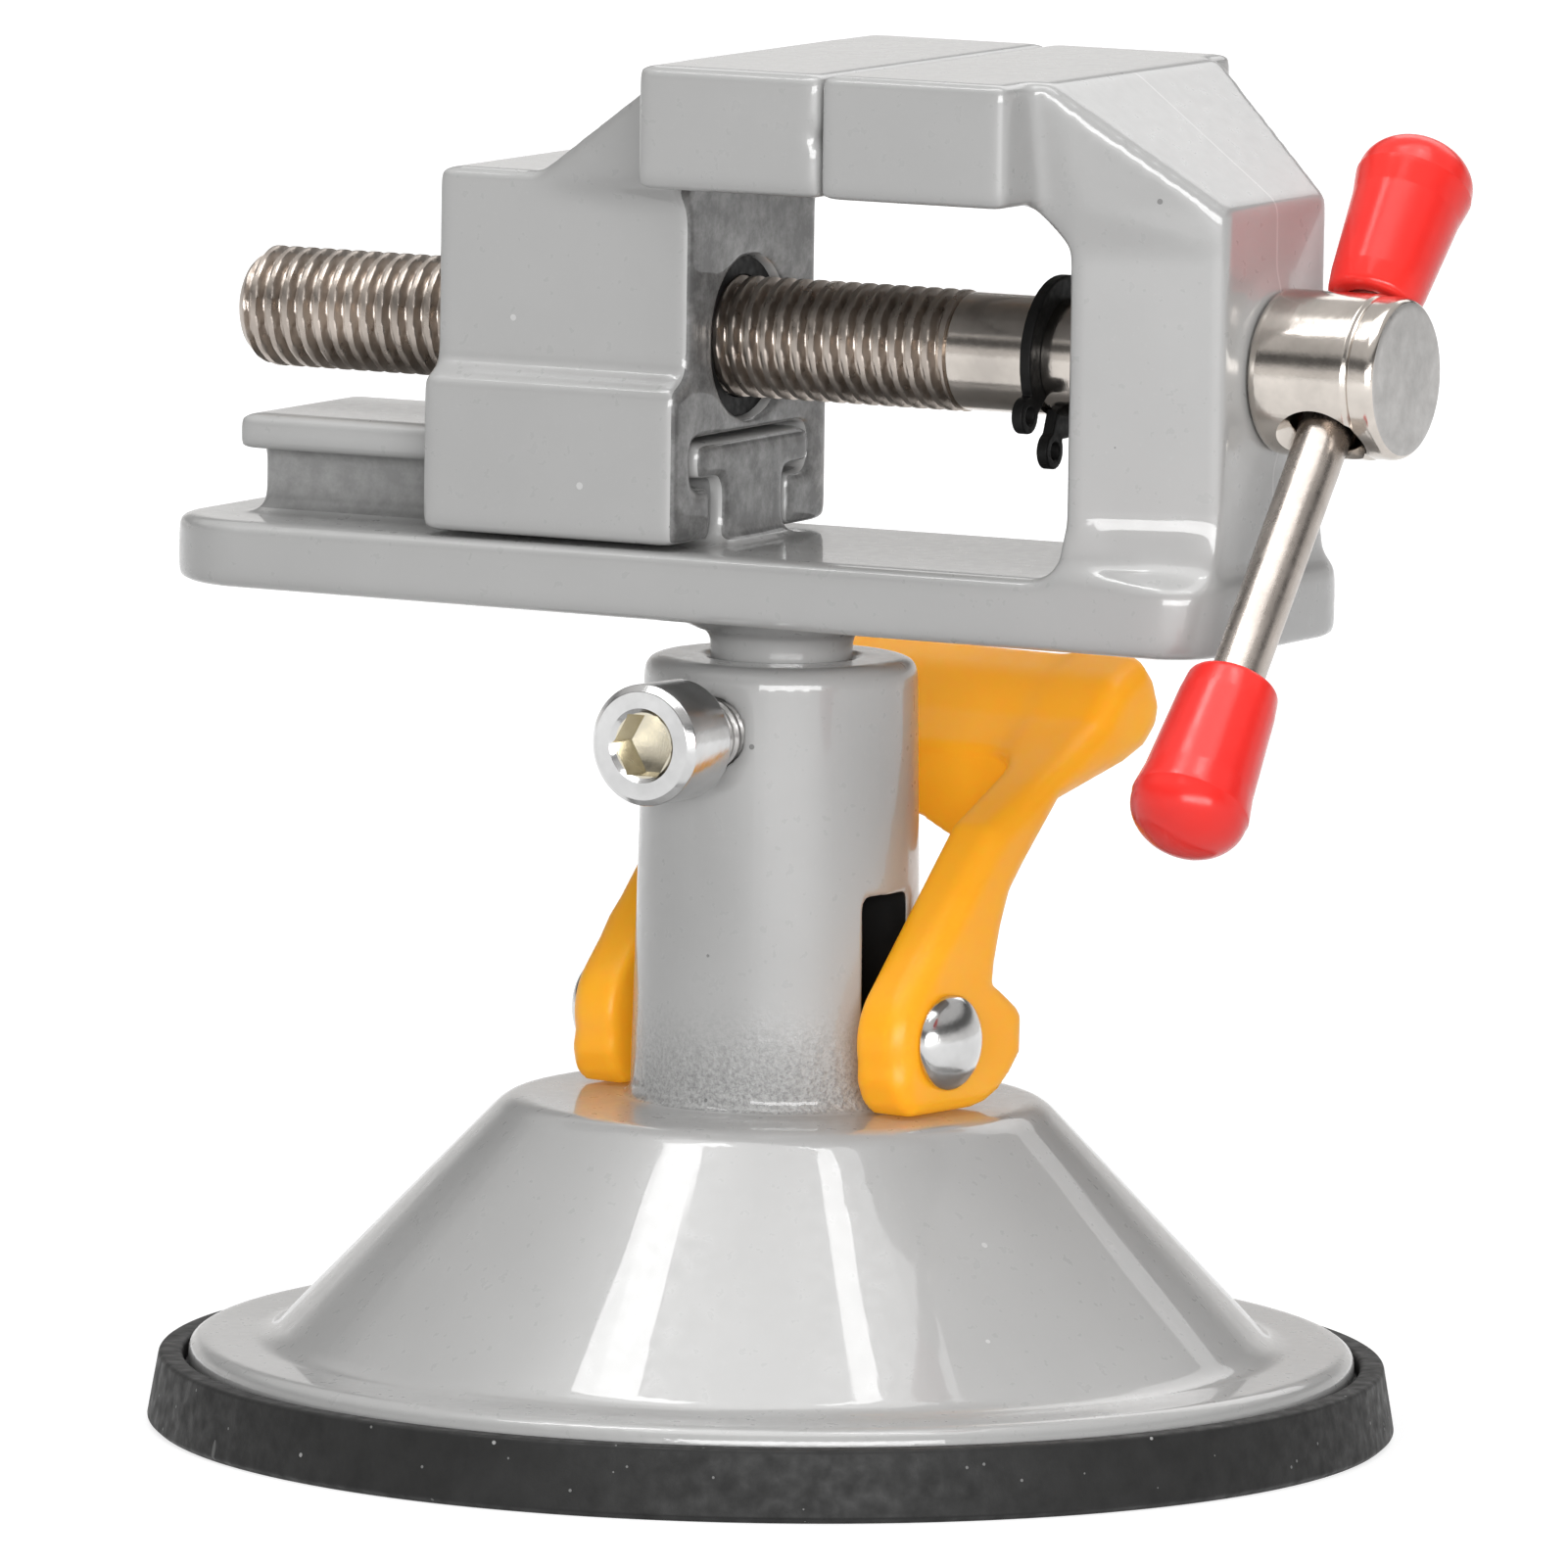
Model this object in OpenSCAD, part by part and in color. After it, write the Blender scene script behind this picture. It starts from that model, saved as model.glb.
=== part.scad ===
// Small bench vise on a lever-operated suction base.
// Origin: middle of the pad's face on the table. +Z up, +X along the lead screw to its handle.

/* [Suction base] */
// Radius of the rubber pad on the table
pad_r = 51.6; // [48:0.2:58]
// Thickness of the rubber membrane
pad_t = 3.2; // [2.6:0.1:4]
// Height of the rubber lip that stands round the flange
lip_h = 5.9; // [5.4:0.1:7]
// How far the lip leans in from foot to top
lip_draft = 1; // [0.4:0.1:1.6]
// Wall of the lip at its top
lip_w = 2; // [1.4:0.1:3]
// Height of the rubber shelf that the flange sits on
shelf_z = 4.4; // [4:0.1:4.8]
// Height of the flange's upper face
flange_top_z = 7.2; // [6.8:0.1:8]
// Radius of the cone at its foot
cone_foot_r = 40.6; // [38:0.2:43]
// Radius of the level deck on top of the cone
deck_r = 22.2; // [21.4:0.1:23]
// Height of the deck, where the lever's cams bear
deck_z = 27.5; // [26:0.1:30]
// Wall of the cast shell
shell_t = 2.7; // [2.2:0.1:3.2]
// Turn of the whole base below the vise
base_yaw = -9; // [-12:1:-6]

/* [Post] */
// Radius of the post at its top
post_r = 11.25; // [10.8:0.05:11.6]
// Growth of the post's radius down to the deck
post_draft = 0.65; // [0.2:0.05:0.8]
// Height of the post's top face
post_top_z = 64.2; // [62:0.2:67]
// Radius of the bore that takes the vise's stud
stud_bore_r = 6; // [5.6:0.1:6.4]
// Depth of the stud's bore
stud_bore_depth = 12; // [11:0.5:13]
// Thickness of the web between the two bores
bore_web_t = 1.8; // [1.2:0.1:2.2]
// Radius of the pull stem's bore
stem_bore_r = 6.7; // [6.3:0.1:7]
// Width of the slots that the lever's pin rides in
slot_w = 6; // [5:0.2:6.6]
// Spare height of the slots above the lifted pin
slot_spare = 4.4; // [1:0.2:5]

/* [Clamp screw] */
// Distance of the clamp screw's axis below the post's top
clamp_drop = 5.6; // [5:0.1:6.4]
// Direction that the clamp screw faces, from -Y
clamp_turn = -3.8; // [-12:0.2:4]
// Thread radius of the clamp screw
clamp_thread_r = 3; // [2.5:0.1:3.2]
// Thread pitch of the clamp screw
clamp_pitch = 1; // [0.8:0.1:1]
// Length of the clamp screw under its head
clamp_len = 9.5; // [9:0.5:12]
// Radius of the clamp screw's head
clamp_head_r = 5; // [4.4:0.1:5.2]
// Height of the clamp screw's head
clamp_head_h = 6; // [5:0.5:6.5]
// Width across the flats of its hexagon socket
clamp_socket_af = 5; // [4:0.5:5]
// Depth of the hexagon socket
clamp_socket_depth = 3.4; // [2.5:0.1:4]

/* [Lever] */
// Height of the lever's pin over the deck with the lever released
pin_rise = 6.1; // [5.4:0.1:6.6]
// Radius of the pin
pin_r = 2; // [1.6:0.1:2.2]
// Radius of the pin's domed heads
pin_head_r = 3.95; // [3.2:0.05:4.4]
// Height of the domes on those heads
pin_head_h = 1.7; // [1.2:0.1:2.2]
// Thickness of the lever's arms
arm_t = 5; // [4:0.1:6]
// Reach of the paddle behind the pin
lever_reach = 28.6; // [27:0.2:34]
// Height of the paddle's tip over the pin
lever_rise = 29.5; // [28:0.5:31]
// Swing of the lever from released to locked
lever_swing = 70; // [66:1:72]
// Lift of the pull stem at the end of the swing
stem_lift = 5.2; // [4.4:0.1:5.3]

/* [Bed and rail] */
// Gap between the post's top and the bed plate
head_gap = 4; // [3:0.2:5]
// Length of the bed plate
bed_len = 98.5; // [96:0.5:104]
// Width of the bed plate
bed_w = 28.5; // [27.8:0.1:30]
// Thickness of the bed plate
bed_t = 5.4; // [5:0.1:6]
// Corner radius of the bed plate at its free end
bed_corner_r = 9; // [4:0.5:12]
// Setback of the T rail from the plate's free end
rail_inset = 6.6; // [3:0.2:8]
// Width of the T rail's head
rail_w = 19.4; // [18.6:0.1:20]
// Width of the T rail's web
rail_web_w = 10.6; // [9:0.1:11.6]
// Height of the rail's top over the bed plate
rail_h = 8.6; // [8.2:0.1:9]
// Thickness of the rail's head
rail_head_t = 3; // [2.6:0.1:3.3]

/* [Jaws] */
// Place of the plane where the jaws meet
jaw_x = 13.55; // [12.5:0.05:14.5]
// Width of the jaws
jaw_w = 40.9; // [36:0.1:44]
// Height of the jaws' top over the bed plate
jaw_top_h = 40.4; // [39:0.1:43]
// Height of the jaws' gripping faces
jaw_h = 10.1; // [9.4:0.1:10.6]
// Thickness of each jaw's head
jaw_t = 16.9; // [16:0.1:18]
// Depth of the groove for round work
groove_d = 0.7; // [0.4:0.1:1]
// Travel of the moving jaw
jaw_travel = 30; // [24:0.5:34]
// Length of the moving jaw's body
body_len = 23.8; // [22:0.2:26]
// Width of the moving jaw's upper body
body_w = 22.4; // [20.6:0.1:23.4]
// Width of the moving jaw's foot
foot_w = 27.2; // [26:0.1:27.8]
// Height of the moving jaw's foot
foot_h = 12.75; // [12:0.05:13.5]
// Length of the column that carries the fixed jaw
column_len = 12.4; // [11.5:0.1:14]
// Width of the column at its inner face
column_w = 26.6; // [24:0.1:27.2]
// Width of the column at its end face
column_end_w = 18.4; // [17:0.1:19.4]

/* [Lead screw] */
// Height of the lead screw's axis over the bed plate
screw_h = 16.7; // [16.2:0.1:17.6]
// Thread radius of the lead screw
screw_r = 5; // [4.6:0.1:5.1]
// Thread pitch of the lead screw
screw_pitch = 1.5; // [1.25:0.25:2]
// Length of the plain shank between thread and head
shank_len = 28.7; // [27.5:0.1:30.5]
// Radius of the plain shank
shank_r = 4.85; // [4.5:0.05:5]
// Radius of the screw's head
head_r = 6.75; // [6.3:0.05:7]
// Length of the screw's head
head_len = 11.4; // [10.4:0.1:12.4]
// Distance of the retaining ring from the column
ring_set = 7; // [5:0.1:8]
// Outer radius of the retaining ring
ring_r = 6.7; // [6.2:0.1:7]
// Radius of the threaded bush in the moving jaw
bush_r = 6.6; // [6.2:0.1:6.8]
// Length of the threaded bush
bush_len = 13; // [11:0.5:14]

/* [Handle bar] */
// Radius of the bar
bar_r = 2.2; // [1.8:0.1:2.5]
// Radius of the hole for the bar
bar_hole_r = 3; // [2.8:0.1:3.2]
// Overall length of the bar with its caps
bar_len = 68.6; // [60:0.2:76]
// Lean of the bar from upright
bar_lean = 39.4; // [0:0.2:60]
// Length of each cap
cap_len = 15.8; // [14:0.1:17]
// Radius of a cap at its open end
cap_r = 3.95; // [3.5:0.05:4.3]
// Radius of a cap at its ridge
cap_ridge_r = 4.9; // [4.4:0.05:5.3]

/* [Hidden] */
$fn = 96;

// Clearances, small roundings and overruns
cut = 0.6;
joint_gap = 0.1;
slide_gap = 0.35;
lip_gap = 0.4;
cam_gap = 0.2;
edge_r = 1.2;
arc_steps = 6;
fine_steps = 16;

// Colours of the pieces
casting_colour = [0.70, 0.70, 0.70];
rubber_colour = [0.10, 0.10, 0.10];
orange_colour = [1.00, 0.60, 0.12];
cap_colour = [0.93, 0.16, 0.14];
nickel_colour = [0.74, 0.70, 0.66];
bright_colour = [0.82, 0.83, 0.84];
black_colour = [0.06, 0.06, 0.06];

// Points on an arc about [cx, cy]
function arc(cx, cy, r, from, to, steps = arc_steps) = [
    for (i = [0 : steps]) let (a = from + (to - from) * i / steps) [cx + r * cos(a), cy + r * sin(a)]
];

// The same points in the opposite order
function turned(points) = [for (i = [len(points) - 1 : -1 : 0]) points[i]];

// Corner points [x, +y, z] and [x, -y, z] for each [x, half width, z]
function both_sides(corners) = [for (c = corners, s = [1, -1]) [c[0], s * c[1], c[2]]];

// Solid that spans a list of corner points
module convex(corners) {
    hull() polyhedron(points = corners, faces = [for (i = [2 : len(corners) - 1]) [0, i - 1, i]]);
}

// Cylinder along X from x0 to x1 at the height of the lead screw
module screw_cylinder(radius, x0, x1) {
    translate([x0, 0, screw_z]) rotate([0, 90, 0]) cylinder(r = radius, h = x1 - x0);
}

// Section [y, z] drawn out along X from x0 to x1
module along_x(x0, x1) {
    translate([x0, 0, 0]) rotate([90, 0, 90]) linear_extrude(height = x1 - x0) children();
}

// Section [x, z] drawn out along Y, centred
module along_y(width) {
    rotate([90, 0, 0]) linear_extrude(height = width, center = true) children();
}

// Block from one x to another, centred on Y, from one z to another
module block(x0, x1, width, z0, z1) {
    translate([x0, -width / 2, z0]) cube([x1 - x0, width, z1 - z0]);
}

// Threaded rod along Z: a core with one ridge a pitch
thread_depth_share = 0.5;
thread_crest_share = 0.9;
thread_shares = [[0.1, 1], [0.4, 0], [0.6, 0], [0.9, 1]];

module threaded_rod(radius, pitch, length) {
    depth = pitch * thread_depth_share;
    ridges = floor(length / pitch - thread_crest_share);
    rotate_extrude() polygon(concat(
        [[0, 0], [radius - depth, 0]],
        [for (i = [0 : ridges - 1], p = thread_shares) [radius - depth * p[1], (i + p[0]) * pitch]],
        [[radius - depth, length], [0, length]]
    ));
}

// Suction base: cast housing of flange, cone, deck and post
lip_top_r = pad_r - lip_draft;
lip_in_r = lip_top_r - lip_w;
flange_r = lip_in_r - lip_gap;
flange_edge_z = flange_top_z - edge_r;
cone_slope = atan2(deck_z - flange_top_z, cone_foot_r - deck_r);
shell_step = shell_t / sin(cone_slope);
cavity_top_z = deck_z - shell_t;
cavity_foot_r = cone_foot_r - shell_step + (flange_top_z - shelf_z) / tan(cone_slope);
cavity_top_r = deck_r - shell_step + shell_t / tan(cone_slope);
guide_r = stem_bore_r + shell_t + edge_r;
guide_gap = 2;
deck_edge_r = edge_r * 2;
deck_chord = deck_edge_r * tan(cone_slope / 2);
foot_fillet_r = edge_r * 1.5;
arm_gap = 0.5;
post_fillet_r = arm_gap;
post_foot_r = post_r + post_draft;
stud_floor_z = post_top_z - stud_bore_depth;
stem_ceiling_z = stud_floor_z - bore_web_t;
pin_z = deck_z + pin_rise;
slot_foot_z = pin_z - pin_r - slide_gap;
slot_top_z = pin_z + stem_lift + pin_r + slot_spare;
clamp_z = post_top_z - clamp_drop;
clamp_hole_r = clamp_thread_r + joint_gap / 2;

module housing_solid() {
    rotate_extrude() polygon(concat(
        [[cavity_foot_r, shelf_z], [flange_r, shelf_z]],
        arc(flange_r - edge_r, flange_edge_z, edge_r, 0, 90),
        [[cone_foot_r + foot_fillet_r, flange_top_z]],
        [[cone_foot_r - foot_fillet_r * cos(cone_slope), flange_top_z + foot_fillet_r * sin(cone_slope)]],
        arc(deck_r - deck_chord, deck_z - deck_edge_r, deck_edge_r, 90 - cone_slope, 90),
        arc(post_foot_r + post_fillet_r, deck_z + post_fillet_r, post_fillet_r, -90, -180),
        arc(post_r - edge_r, post_top_z - edge_r, edge_r, 0, 90),
        [[0, post_top_z], [0, guide_foot_z], [guide_r, guide_foot_z], [guide_r, cavity_top_z]],
        [[cavity_top_r, cavity_top_z]]
    ));
}

module base_housing() {
    slot_reach = post_foot_r + post_fillet_r;
    color(casting_colour) rotate([0, 0, base_yaw]) difference() {
        housing_solid();
        translate([0, 0, stud_floor_z]) cylinder(r = stud_bore_r, h = stud_bore_depth + cut);
        translate([0, 0, guide_foot_z - cut])
            cylinder(r = stem_bore_r, h = stem_ceiling_z - guide_foot_z + cut);
        block(-slot_reach, slot_reach, slot_w, slot_foot_z, slot_top_z);
        translate([0, 0, clamp_z]) rotate([90, 0, clamp_turn - base_yaw])
            cylinder(r = clamp_hole_r, h = post_foot_r + cut);
    }
}

// Rubber pad: membrane, shelf under the flange and the lip round it
module suction_pad() {
    color(rubber_colour) rotate_extrude() polygon([
        [0, 0], [pad_r, 0], [lip_top_r, lip_h], [lip_in_r, lip_h], [lip_in_r, shelf_z],
        [cavity_foot_r - lip_w, shelf_z], [cavity_foot_r - lip_w * 2, pad_t], [0, pad_t]
    ]);
}

// Pull stem and the plate that is bonded to the pad
plate_r = 15;
plate_t = 1.4;
stem_r = stem_bore_r - joint_gap;
stem_foot_r = 9;
stem_foot_t = 2.2;
plate_top_z = pad_t + plate_t;
stem_foot_z = plate_top_z + stem_foot_t;
guide_foot_z = stem_foot_z + stem_lift + guide_gap;
stem_top_z = stem_ceiling_z - stem_lift - slide_gap;
pin_hole_r = pin_r + joint_gap / 2;

module pad_plate() {
    color(bright_colour) translate([0, 0, pad_t]) cylinder(r = plate_r, h = plate_t);
}

module pull_stem() {
    color(black_colour) rotate([0, 0, base_yaw]) difference() {
        rotate_extrude() polygon([
            [0, plate_top_z], [stem_foot_r, plate_top_z], [stem_foot_r, stem_foot_z],
            [stem_r + edge_r, stem_foot_z], [stem_r, stem_foot_z + edge_r],
            [stem_r, stem_top_z - edge_r], [stem_r - edge_r, stem_top_z], [0, stem_top_z]
        ]);
        translate([-stem_foot_r, 0, pin_z]) rotate([0, 90, 0]) cylinder(r = pin_hole_r, h = stem_foot_r * 2);
    }
}

// Cam lever: side view [back from the pin, up from the pin]
arm_in = post_foot_r + arm_gap;
arm_out = arm_in + arm_t;
cam_low = pin_rise - cam_gap;
cam_rate = stem_lift / (lever_swing * PI / 180);
cam_end_turn = 57;
nose_r = pin_rise;
nose_top_turn = 138.4;
arm_back_shares = [[0.38, 0.04], [0.36, 0.065], [0.22, 0.145], [0.23, 0.19], [0.31, 0.395], [0.535, 0.635]];
paddle_back_shares = [[0.85, 0.71], [0.98, 0.8], [1, 0.845], [0.96, 0.925], [0.9, 1]];
paddle_front_shares = [[0.69, 0.86], [0.595, 0.74]];
web_foot_shares = [[0.595, 0.55], [0.63, 0.63]];
arm_front_shares = [[0.595, 0.78], [0.24, 0.575]];

// The cam's face lifts the pin steadily as the lever turns
function cam_point(turn) = let (reach = cam_low + cam_rate * turn * PI / 180) [
    reach * sin(turn) + cam_rate * cos(turn), -reach * cos(turn) + cam_rate * sin(turn)
];
cam_face = [for (i = [0 : fine_steps]) cam_point(cam_end_turn * i / fine_steps)];

// The nose is cut level where it would reach below the cam's flat
nose_start = 360 - acos(-sqrt(1 - pow(cam_low / nose_r, 2)));
nose = arc(0, 0, nose_r, nose_start, nose_top_turn, fine_steps);

function lever_points(shares) = [for (s = shares) [s[0] * lever_reach, s[1] * lever_rise]];

module side_plate(inner, outer) {
    translate([0, 0, pin_z]) along_x(inner, outer) children();
}

module arm_outline() {
    polygon(concat(cam_face, lever_points(arm_back_shares), lever_points(paddle_back_shares),
        [lever_points(paddle_front_shares)[0]], lever_points(arm_front_shares), turned(nose)));
}

module web_outline() {
    polygon(concat(lever_points(web_foot_shares), lever_points(paddle_back_shares),
        lever_points(paddle_front_shares)));
}

module lever() {
    color(orange_colour) rotate([0, 0, base_yaw]) difference() {
        union() {
            side_plate(arm_in, arm_out) arm_outline();
            side_plate(-arm_out, -arm_in) arm_outline();
            side_plate(-arm_in - cut, arm_in + cut) web_outline();
        }
        translate([-arm_out - cut, 0, pin_z]) rotate([0, 90, 0])
            cylinder(r = pin_hole_r, h = (arm_out + cut) * 2);
    }
}

// Domed rivet through the lever's arms and the pull stem
pin_rim = 0.7;
rivet_reach = arm_out + joint_gap;
dome_r = (pow(pin_head_r, 2) + pow(pin_head_h, 2)) / (2 * pin_head_h);
dome_sweep = asin(pin_head_r / dome_r);

module lever_pin() {
    half = concat([[pin_r, rivet_reach], [pin_head_r, rivet_reach]],
        arc(0, rivet_reach + pin_rim + pin_head_h - dome_r, dome_r, 90 - dome_sweep, 90));
    color(bright_colour) rotate([0, 0, base_yaw]) translate([0, 0, pin_z]) rotate([0, 90, 0])
        rotate_extrude() polygon(concat(half, [for (p = turned(half)) [p[0], -p[1]]]));
}

// Stud under the bed, and the socket screw that locks the vise's swivel in the stud's groove
stud_r = stud_bore_r - joint_gap;
stud_foot_z = stud_floor_z + joint_gap;
stud_groove_d = 0.8;
boss_r = 9.2;
boss_t = 1.8;
boss_edge = 0.5;
stud_groove_half = clamp_thread_r + boss_edge;
clamp_face_out = stud_r + joint_gap + clamp_len + clamp_head_h;
socket_corner_r = clamp_socket_af / 2 / cos(30);
head_bevel = 0.5;

module clamp_screw() {
    color(bright_colour) rotate([0, 0, clamp_turn]) translate([0, -clamp_face_out, clamp_z]) rotate([-90, 0, 0])
        difference() {
            union() {
                rotate_extrude() polygon([
                    [0, 0], [clamp_head_r - head_bevel, 0], [clamp_head_r, head_bevel],
                    [clamp_head_r, clamp_head_h], [0, clamp_head_h]
                ]);
                translate([0, 0, clamp_head_h - cut])
                    threaded_rod(clamp_thread_r, clamp_pitch, clamp_len + cut);
            }
            translate([0, 0, -cut]) cylinder(r = socket_corner_r, h = clamp_socket_depth + cut, $fn = 6);
        }
}

module stud() {
    rotate_extrude() polygon([
        [0, stud_foot_z], [stud_r - boss_edge, stud_foot_z], [stud_r, stud_foot_z + boss_edge],
        [stud_r, clamp_z - stud_groove_half], [stud_r - stud_groove_d, clamp_z - stud_groove_half + stud_groove_d],
        [stud_r - stud_groove_d, clamp_z + stud_groove_half - stud_groove_d], [stud_r, clamp_z + stud_groove_half],
        [stud_r, bed_foot_z - boss_t], [boss_r - boss_t, bed_foot_z - boss_t],
        [boss_r, bed_foot_z - boss_edge], [boss_r, bed_foot_z + cut], [0, bed_foot_z + cut]
    ]);
}

// Bed: plate, T rail, fixed jaw, column, bosses and stud, one casting
jaw_gap = joint_gap;
jaw_bite = 0.35;
column_set = 2.05;
bed_margin = 0.7;
bed_foot_z = post_top_z + head_gap;
bed_top_z = bed_foot_z + bed_t;
rail_top_z = bed_top_z + rail_h;
screw_z = bed_top_z + screw_h;
jaw_top_z = bed_top_z + jaw_top_h;
jaw_foot_z = jaw_top_z - jaw_h;
fixed_jaw_right_x = jaw_x + jaw_t;
column_x = fixed_jaw_right_x + column_set;
column_end_x = column_x + column_len;
bed_right_x = column_end_x + bed_margin;
bed_left_x = bed_right_x - bed_len;
body_right_x = jaw_x - jaw_t + jaw_bite;
body_left_x = body_right_x - body_len;
rail_left_x = bed_left_x + rail_inset;
rail_right_x = body_right_x + slide_gap;
right_corner_r = 5;
web_foot_r = 1.6;
neck_w = 31.6;
neck_foot_w = 27.6;
neck_x = fixed_jaw_right_x + edge_r;
window_corner = 3.3;
column_foot_r = 4.5;
inner_foot_r = 1.6;
end_foot_r = 2.2;
foot_knee_share = 0.64;
column_boss_r = 7;
column_boss_len = 2.5;
end_boss_r = 7.2;
end_boss_len = 0.5;
screw_hole_r = shank_r + joint_gap;

module bed_plate() {
    left = bed_left_x + bed_corner_r;
    left_half = bed_w / 2 - bed_corner_r;
    right = bed_right_x - right_corner_r;
    right_half = bed_w / 2 - right_corner_r;
    translate([0, 0, bed_foot_z]) linear_extrude(height = bed_t) polygon(concat(
        arc(left, left_half, bed_corner_r, 90, 180, fine_steps),
        arc(left, -left_half, bed_corner_r, 180, 270, fine_steps),
        arc(right, -right_half, right_corner_r, 270, 360), arc(right, right_half, right_corner_r, 0, 90)
    ));
}

module rail() {
    web = rail_web_w / 2;
    head = rail_w / 2;
    under = rail_top_z - rail_head_t;
    along_x(rail_left_x, rail_right_x) polygon(concat(
        [[-web - web_foot_r, bed_top_z - cut], [web + web_foot_r, bed_top_z - cut]],
        arc(web + web_foot_r, bed_top_z + web_foot_r, web_foot_r, 270, 180),
        [[web, under], [head, under], [head, rail_top_z], [-head, rail_top_z], [-head, under], [-web, under]],
        arc(-web - web_foot_r, bed_top_z + web_foot_r, web_foot_r, 0, -90)
    ));
}

// Sloping roof and neck that carry the fixed jaw from its column
module fixed_neck() {
    neck = neck_w / 2;
    neck_foot = neck_foot_w / 2;
    end = column_end_w / 2;
    deep_x = fixed_jaw_right_x - edge_r;
    convex(both_sides([
        [deep_x, neck, jaw_top_z], [neck_x, neck, jaw_top_z], [column_end_x, end, jaw_foot_z],
        [deep_x, neck_foot, jaw_foot_z], [column_x + edge_r, neck_foot, jaw_foot_z],
        [column_end_x, end, jaw_foot_z - joint_gap]
    ]));
    convex(both_sides([
        [column_x - window_corner, neck_foot, jaw_foot_z], [column_x + edge_r, neck_foot, jaw_foot_z],
        [column_end_x, end, jaw_foot_z], [column_x, column_w / 2, jaw_foot_z - window_corner],
        [column_end_x, end, jaw_foot_z - window_corner]
    ]));
}

// Column on the plate, with a hollow fillet round its foot in two slopes: [height, spread]
fillet_shares = [[0, 1], [0.29, 0.29], [1, 0]];

module column() {
    wide = column_w / 2;
    end = column_end_w / 2;
    knee = wide + (end - wide) * foot_knee_share;
    convex(both_sides([
        [column_x, wide, bed_top_z - cut], [column_end_x, end, bed_top_z - cut],
        [column_x, wide, jaw_foot_z - window_corner], [column_end_x, end, jaw_foot_z - joint_gap]
    ]));
    for (i = [0, 1]) {
        convex(both_sides([for (s = [fillet_shares[i], fillet_shares[i + 1]], p = [
            [column_x - inner_foot_r * s[1], wide + (bed_w / 2 - wide) * s[1]],
            [column_x + column_len * foot_knee_share, knee + (bed_w / 2 - slide_gap - knee) * s[1]],
            [column_end_x, end + end_foot_r * s[1]]
        ]) [p[0], p[1], bed_top_z + column_foot_r * s[0]]]));
    }
}

module vise_bed() {
    color(casting_colour) difference() {
        union() {
            bed_plate();
            rail();
            block(jaw_x + jaw_gap / 2, fixed_jaw_right_x, jaw_w, jaw_foot_z, jaw_top_z);
            fixed_neck();
            column();
            stud();
            screw_cylinder(column_boss_r, column_x - column_boss_len, column_x + cut);
            screw_cylinder(end_boss_r, column_end_x - cut, column_end_x + end_boss_len);
        }
        screw_cylinder(screw_hole_r, column_x - column_boss_len - cut, column_end_x + end_boss_len + cut);
    }
}

// Moving jaw: body astride the rail, gusset and head, one casting
body_foot_z = bed_top_z + slide_gap;
foot_top_z = body_foot_z + foot_h;
slot_half = rail_w / 2 + slide_gap;
slot_ceiling_z = rail_top_z + slide_gap;
slot_ledge_z = rail_top_z - rail_head_t - slide_gap * 2;
mouth_half = rail_web_w / 2 + web_foot_r - slide_gap;
bevel_h = 1.2;
gusset_w = 27.2;
gusset_len = 14.4;
gusset_x = body_right_x - gusset_len;
flare_len = 10.7;
flare_h = 2.8;
bush_depth = 1.2;
bush_right_x = body_right_x - bush_depth;
bush_left_x = bush_right_x - bush_len;
bush_bore_r = bush_r + joint_gap / 2;
tail_bore_r = screw_r + slide_gap;
groove_z = jaw_top_z - jaw_h / 2;

module jaw_gusset() {
    body = body_w / 2;
    wide = gusset_w / 2;
    convex(both_sides([
        [gusset_x, body, jaw_foot_z], [gusset_x, body, jaw_foot_z - edge_r], [body_right_x, wide, jaw_top_z],
        [body_right_x, wide, jaw_foot_z - joint_gap]
    ]));
    convex(both_sides([
        [gusset_x, body, jaw_foot_z], [body_right_x - flare_len, body, jaw_foot_z - edge_r],
        [body_right_x, wide, jaw_foot_z], [body_right_x, body, jaw_foot_z - flare_h]
    ]));
}

module jaw_step() {
    convex(both_sides([for (x = [body_left_x, body_right_x], s = [[foot_w, -cut], [foot_w, 0], [body_w, bevel_h]])
        [x, s[0] / 2, foot_top_z + s[1]]]));
}

module rail_slot() {
    along_x(body_left_x - cut, body_right_x + cut) polygon([
        [-mouth_half, body_foot_z - cut], [mouth_half, body_foot_z - cut], [mouth_half, slot_ledge_z],
        [slot_half, slot_ledge_z], [slot_half, slot_ceiling_z], [-slot_half, slot_ceiling_z],
        [-slot_half, slot_ledge_z], [-mouth_half, slot_ledge_z]
    ]);
}

module moving_jaw() {
    color(casting_colour) difference() {
        union() {
            block(body_left_x, body_right_x, foot_w, body_foot_z, foot_top_z);
            block(body_left_x, body_right_x, body_w, foot_top_z - cut, jaw_foot_z);
            jaw_step();
            jaw_gusset();
            block(jaw_x - jaw_t, jaw_x - jaw_gap / 2, jaw_w, jaw_foot_z, jaw_top_z);
        }
        rail_slot();
        screw_cylinder(bush_bore_r, bush_left_x, body_right_x + cut);
        screw_cylinder(tail_bore_r, body_left_x - cut, bush_left_x + cut);
        along_y(jaw_w + cut * 2) polygon([
            [jaw_x + cut, groove_z + groove_d + cut], [jaw_x + cut, groove_z - groove_d - cut],
            [jaw_x - groove_d, groove_z]
        ]);
    }
}

module threaded_bush() {
    color(black_colour) difference() {
        screw_cylinder(bush_r, bush_left_x, bush_right_x);
        screw_cylinder(screw_r + joint_gap, bush_left_x - cut, bush_right_x + cut);
    }
}

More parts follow.
